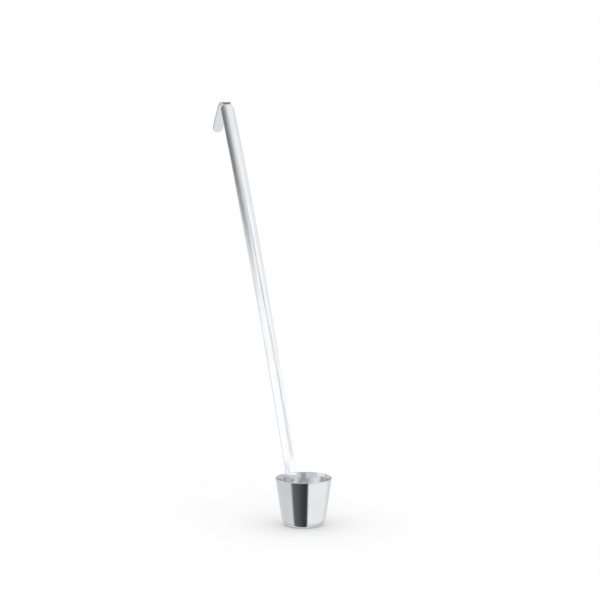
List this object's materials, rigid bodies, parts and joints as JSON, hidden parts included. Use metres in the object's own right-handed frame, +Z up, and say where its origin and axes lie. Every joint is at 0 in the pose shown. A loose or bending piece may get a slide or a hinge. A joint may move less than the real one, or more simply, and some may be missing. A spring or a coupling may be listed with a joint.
{
  "type": "syrup ladle",
  "caption": "Small syrup ladle of sheet stainless steel: a tapered drawn cup spot-welded to a long strip handle that leans back and ends in a hanging hook.",
  "frame": {"origin": "centre of the cup's flat underside", "axes": "+Z up along the cup's axis, +Y from the cup toward the handle and the hook, +X to the right as seen from the front of the cup"},
  "size_m": [0.0426, 0.1808, 0.3135],
  "materials": {
    "cup_steel": "polished stainless steel with a fine satin grain",
    "handle_steel": "polished stainless steel with a fine lengthwise grain",
    "weld_metal": "dull fused steel"
  },
  "bodies": {
    "root": {"cup": "cup_steel", "handle": "handle_steel", "weld_upper": "weld_metal", "weld_lower": "weld_metal"}
  },
  "joints": []
}
